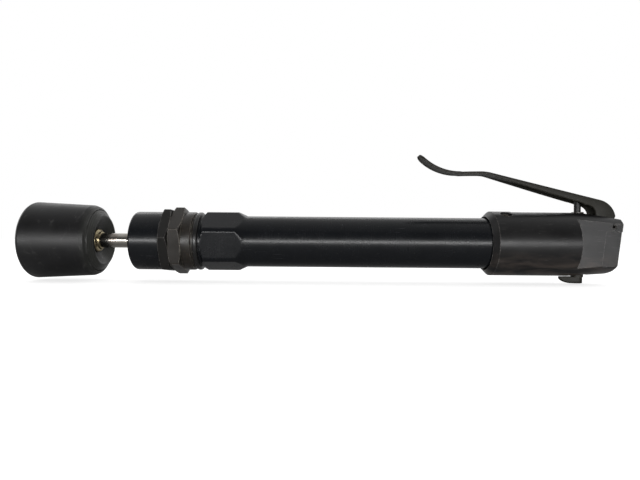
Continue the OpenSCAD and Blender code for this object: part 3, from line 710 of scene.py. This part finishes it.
def make_barrel(material):
    """Long tube with its hexagon section: round corners, six milled flats and a cone behind."""
    low = box_mm("barrel_tube")[0]
    cone_x0 = low.x + 25.1
    cone_x1 = cone_x0 + 6
    face_x, full_r, neck_r, bore = low.x + 1.5, TUBE_R + 2.75, TUBE_R + 0.25, TUBE_R - 3.1
    end_x = -56
    shape = hexagon(BARREL_FLATS, 22)
    turned = fillet([
        (face_x, neck_r), (face_x, full_r - 2.0, 0.3), (face_x + 2, full_r, 0.5), (cone_x0, full_r, 1.2),
        (cone_x1, TUBE_R, 2.5), (cone_x1 + 8, TUBE_R),
    ], 5)
    stations = []
    for a, b in zip(turned, turned[1:]):
        pieces = max(1, int((b - a).length / 0.9))
        stations += [a.lerp(b, i / pieces) for i in range(pieces)]
    stations.append(turned[-1])
    rings = [(low.x, bore), (low.x, neck_r), (face_x, neck_r)]
    for x, r in stations[1:]:
        rings.append((x, lambda turn, r=r: soft_min(shape(turn), r, 0.12)))
    rings += [(x, TUBE_R) for x in (cone_x1 + 40, cone_x1 + 80, cone_x1 + 120, end_x)]
    rings.append((end_x, bore))
    mesh = ring_mesh("barrel_tube", [around(x, r, NUT_STEPS) for x, r in rings], True)
    new_piece(
        "barrel_tube_body", mesh, material, "hammer", "black_anodised", "barrel_tube", angle=25,
    )


# ---------------------------------------------------------------- lever

def lever_edges():
    """Matching points (x, z) along the lever's outer and inner edges, from the tip to the root."""
    pin_low, pin_high = box_mm("lever_pin")
    pivot = Vector(((pin_low.x + pin_high.x) / 2, (pin_low.z + pin_high.z) / 2))
    half, rest_z, rest_x, bend_x, full_x = 0.9, 48.7, -102, -83.4, -23
    arc_r, arc_deg = 37, 48
    hook, hook_r, root_r = Vector((-5, pivot.y + 19)), 14, 3.2
    throat, throat_r = Vector((-15.2, pivot.y + 8.5)), 7
    slope = (rest_z + half - hook.y) / (hook.x - bend_x)
    lean = math.atan(slope)
    outer, inner = [], []
    for i in range(25):
        a = math.radians(arc_deg * (1 - i / 24))
        for edge, r in ((outer, arc_r - half), (inner, arc_r + half)):
            edge.append(Vector((rest_x - r * math.sin(a), rest_z + arc_r - r * math.cos(a))))
    ease_len = 3.0
    for i in range(1, 9):
        t = i / 8
        x = rest_x + (bend_x - ease_len - rest_x) * t
        hump = 0.35 * math.sin(math.pi * t / 2)
        outer.append(Vector((x, rest_z + half - 0.3 + hump)))
        inner.append(Vector((x, rest_z - half - 0.3 + hump)))

    def top(x):
        return hook.y + (hook.x - x) * slope

    def depth(x):
        u = max(0.0, (x - bend_x) / (full_x - bend_x))
        return 2 * half + 4.6 * u - 1.1 * u * u

    for i in range(1, 41):
        x = bend_x - ease_len + (full_x - bend_x + ease_len) * i / 40
        sharp = min(rest_z + half, top(x))
        ease = max(0.0, ease_len - abs(x - bend_x)) ** 2 / (4 * ease_len) * slope
        outer.append(Vector((x, sharp - ease)))
        inner.append(Vector((x, sharp - ease - depth(x))))
    centre = hook - hook_r * Vector((math.sin(lean), math.cos(lean)))
    end = math.radians(80)
    low_z = top(full_x) - depth(full_x)
    steps = 36
    for i in range(1, steps + 1):
        t = i / steps
        if t <= 0.4:
            x = full_x + (hook.x - full_x) * t / 0.4
            outer.append(Vector((x, top(x))))
            x = full_x + (throat.x - full_x) * t / 0.4
            inner.append(Vector((x, low_z + (throat.y + throat_r - low_z) * (t / 0.4) ** 1.3)))
        else:
            a = lean + (end - lean) * (t - 0.4) / 0.6
            outer.append(centre + hook_r * Vector((math.sin(a), math.cos(a))))
            a = math.radians(90 * (1 - (t - 0.4) / 0.6))
            inner.append(throat + throat_r * Vector((math.cos(a), math.sin(a))))
    start_out, start_in = outer[-1], inner[-1]
    for i in range(1, 15):
        outer.append(start_out.lerp(pivot + Vector((root_r, 0)), i / 14))
        inner.append(start_in.lerp(pivot + Vector((-root_r, 0)), i / 14))
    for i in range(1, 9):
        a = math.radians(85 * i / 8)
        outer.append(pivot + root_r * Vector((math.cos(a), -math.sin(a))))
        inner.append(pivot + root_r * Vector((-math.cos(a), -math.sin(a))))
    return outer, inner


def lever_section(half_w, depth, web, flange, corner):
    """Half of the channel's outline as (y, v): v is 0 at the outer edge and -depth at the inner."""
    corner = min(corner, depth * 0.4)
    tip = min(flange * 0.45, (depth - web) * 0.5)
    points = [(0, 0), (half_w * 0.5, 0), (half_w - corner * 1.6, -0.02)]
    for k in range(5):
        a = math.radians(90 - 90 * k / 4)
        points.append((half_w - corner + corner * math.cos(a), -corner + corner * math.sin(a)))
    points += [(half_w, -depth * 0.55), (half_w, -depth + tip)]
    for k in range(1, 4):
        a = math.radians(90 * k / 3)
        points.append((half_w - tip + tip * math.cos(a), -depth + tip - tip * math.sin(a)))
    inner_w = half_w - flange
    points.append((inner_w + tip, -depth))
    points += [(inner_w + tip * 0.3, -depth + tip * 0.3), (inner_w, -depth + tip)]
    root = min(0.8, (depth - web) * 0.4)
    points.append((inner_w, -web - root))
    points.append((inner_w - root * 0.3, -web - root * 0.3))
    points.append((inner_w - root, -web))
    points += [(inner_w * 0.5, -web), (0, -web)]
    return points


def make_lever(material):
    """Stamped lever: a web with side flanges that deepen towards the root, swept along its path."""
    high = box_mm("throttle_lever")[1]
    half_w, web, flange, corner = high.y, 1.8, 1.8, 1.0
    outer, inner = lever_edges()
    length, travelled = [0.0], 0.0
    for a, b in zip(outer, outer[1:]):
        travelled += (b - a).length
        length.append(travelled)
    tip_round = 5.5
    rings = []
    for i, (top, bottom) in enumerate(zip(outer, inner)):
        depth = (top - bottom).length
        up = (top - bottom).normalized()
        reach = length[i] + 0.25
        shrink = 0.0
        if reach < tip_round:
            shrink = tip_round - math.sqrt(tip_round ** 2 - (tip_round - reach) ** 2)
        width = half_w - shrink * 0.9
        thin = 0.35 * max(0.0, 1 - reach / 2.0) ** 2
        wall = min(web, depth - 0.3)
        half = lever_section(width, depth, wall, min(flange, width * 0.4), corner)
        ring = [(y, v) for y, v in half] + [(-y, v) for y, v in reversed(half[1:-1])]
        rings.append([
            Vector((top.x + up.x * (v * (1 - thin) - depth * thin / 2), y,
                    top.y + up.y * (v * (1 - thin) - depth * thin / 2))) * MM
            for y, v in ring
        ])
    mesh = ring_mesh("throttle_lever", rings)
    new_piece("lever_stamping", mesh, material, "lever", "lever_steel", "throttle_lever", angle=55)


def make_lever_pin(material):
    """Roll pin: a rolled steel tube with an open slit along it and eased ends."""
    low, high = box_mm("lever_pin")
    x, z, r = (low.x + high.x) / 2, (low.z + high.z) / 2, (high.x - low.x) / 2
    rings = []
    for y, ease in ((low.y, 0.3), (low.y + 0.3, 0), (high.y - 0.3, 0), (high.y, 0.3)):
        ring = []
        for side, radius in ((1, r - ease), (-1, r - 0.75 + ease * 0.3)):
            for i in range(25):
                a = math.radians(150 + 344 * (i if side > 0 else 24 - i) / 24)
                ring.append(Vector((x + radius * math.cos(a), y, z + radius * math.sin(a))) * MM)
        rings.append(ring)
    bm = bmesh.new()
    made = [[bm.verts.new(point) for point in ring] for ring in rings]
    for a, b in zip(made, made[1:]):
        for j in range(50):
            bm.faces.new((a[j], a[(j + 1) % 50], b[(j + 1) % 50], b[j]))
    for ring in (made[0], made[-1]):
        for j in range(24):
            bm.faces.new((ring[j], ring[j + 1], ring[48 - j], ring[49 - j]))
    bmesh.ops.recalc_face_normals(bm, faces=bm.faces)
    mesh = bpy.data.meshes.new("lever_pin")
    bm.to_mesh(mesh)
    bm.free()
    new_piece("lever_roll_pin", mesh, material, "hammer", "machined_steel", "lever_pin")


def make_knob(material):
    """Regulator knob: a round boss that draws out into a pointer with a swelling underside."""
    low, high = box_mm("regulator_knob")
    bottom, top = low.z, low.z + KNOB_HEIGHT
    half_w, boss_r, stem_r, stem_z = 2.75, 3.4, 3.95, high.z
    centre_x = low.x + POINTER_REACH

    def ring(z, inset, reach, tip_half):
        """Outline at height z, drawn in by inset, with its tip at reach from the centre."""
        points, r = [], boss_r - inset
        lean = math.asin(min(0.9, (half_w - tip_half) / max(reach, 1)))
        for i in range(33):
            a = -math.pi / 2 - lean + (math.pi + 2 * lean) * i / 32
            points.append((centre_x + r * math.cos(a), r * math.sin(a)))
        tip = max(tip_half - inset, 0.2)
        for i in range(13):
            a = math.pi / 2 + math.pi * i / 12
            points.append((centre_x - reach + tip + tip * math.cos(a), tip * math.sin(a)))
        return [Vector((x, y, z)) * MM for x, y in points]

    levels = [
        (top, 0.35, 12.6, 1.3), (top - 0.12, 0.12, 12.85, 1.4), (top - 0.4, 0, 13, 1.4),
        (top - 1.4, 0, 12.9, 1.45), (top - 2.3, 0, 12.2, 1.7), (top - 3.2, 0, 10.9, 2.0),
        (top - 3.9, 0.05, 9.2, 2.3), (bottom + 0.35, 0.15, 7.6, 2.4), (bottom + 0.1, 0.4, 6.6, 2.4),
        (bottom, 0.8, 5.8, 2.2),
    ]
    rings = [ring(*level) for level in levels]
    mesh = ring_mesh("regulator_knob", rings)
    stem = []
    for z in (top - 0.3, stem_z):
        stem.append([Vector((centre_x + stem_r * math.cos(a), stem_r * math.sin(a), z)) * MM
                     for a in (2 * math.pi * i / 48 for i in range(48))])
    bm = bmesh.new()
    bm.from_mesh(mesh)
    bm.from_mesh(ring_mesh("regulator_stem", stem))
    bm.to_mesh(mesh)
    bm.free()
    new_piece("regulator_pointer", mesh, material, "regulator", "lever_steel", "regulator_knob")


# ---------------------------------------------------------------- carried-over CAD nodes

def soften(node, width):
    """Rounds the sharp edges of a carried-over CAD node to width, in millimetres."""
    obj = NODES[node]
    for face in obj.data.polygons:
        face.use_smooth = True
    weld = obj.modifiers.new("weld", "WELD")
    weld.merge_threshold = 0.000002
    flat = obj.modifiers.new("flat", "DECIMATE")
    flat.decimate_type = "DISSOLVE"
    flat.angle_limit = math.radians(0.4)
    bevel = obj.modifiers.new("bevel", "BEVEL")
    bevel.width = width * MM
    bevel.segments = 2
    bevel.limit_method = "ANGLE"
    bevel.angle_limit = math.radians(30)
    bevel.harden_normals = True
    even = obj.modifiers.new("even", "WEIGHTED_NORMAL")
    even.weight = 100
    even.keep_sharp = True


def repaint(nodes, material):
    """Gives a material to carried-over CAD nodes."""
    for node in nodes:
        for slot in NODES[node].material_slots:
            slot.material = material


# ---------------------------------------------------------------- scene

make_camera()
make_lights()
make_world()
make_floor()
bpy.context.scene.view_settings.view_transform = "Standard"

ANODISED = black_anodised()
HANDLE = worn_anodised()
RUBBER = bumper_rubber()
OXIDE = oxide_steel()
JAM_BLACK = black_steel()
LEVER = lever_finish()
POLISHED = polished_steel()
STEEL = machined_steel()
BRASS = turned_brass()
BRONZE = bearing_bronze()
SEAL = seal_rubber()
BUFFER = buffer_rubber()

repaint(["handle_body"], HANDLE)
repaint(["tool_shank", "piston"], POLISHED)
repaint(["lock_screw", "pin_bushing", "regulator_clip"], OXIDE)
repaint(["throttle_pin"], JAM_BLACK)
repaint(["shank_wiper", "barrel_seal", "regulator_seals"], SEAL)
repaint(["front_buffer"], BUFFER)
repaint(["shank_bushing", "regulator_sleeve"], BRONZE)
repaint([
    "head_core", "thrust_washer", "cylinder_liner", "front_centring_ring", "rear_centring_ring",
    "valve_body", "valve_disc", "valve_cap", "valve_dowels", "throttle_valve",
    "throttle_spring", "inlet_screen",
], STEEL)

make_rubber_head(RUBBER)
make_ferrule(BRASS)
make_nose_cap(ANODISED)
make_jam_nut(JAM_BLACK)
make_nose_bush(OXIDE)
make_seal_ring(SEAL)
make_barrel(ANODISED)
make_lever(LEVER)
make_lever_pin(JAM_BLACK)
make_knob(LEVER)
for softened, edge in (
    ("handle_body", 0.5), ("throttle_pin", 0.15), ("pin_bushing", 0.3), ("tool_shank", 0.3),
    ("lock_screw", 0.15),
):
    soften(softened, edge)
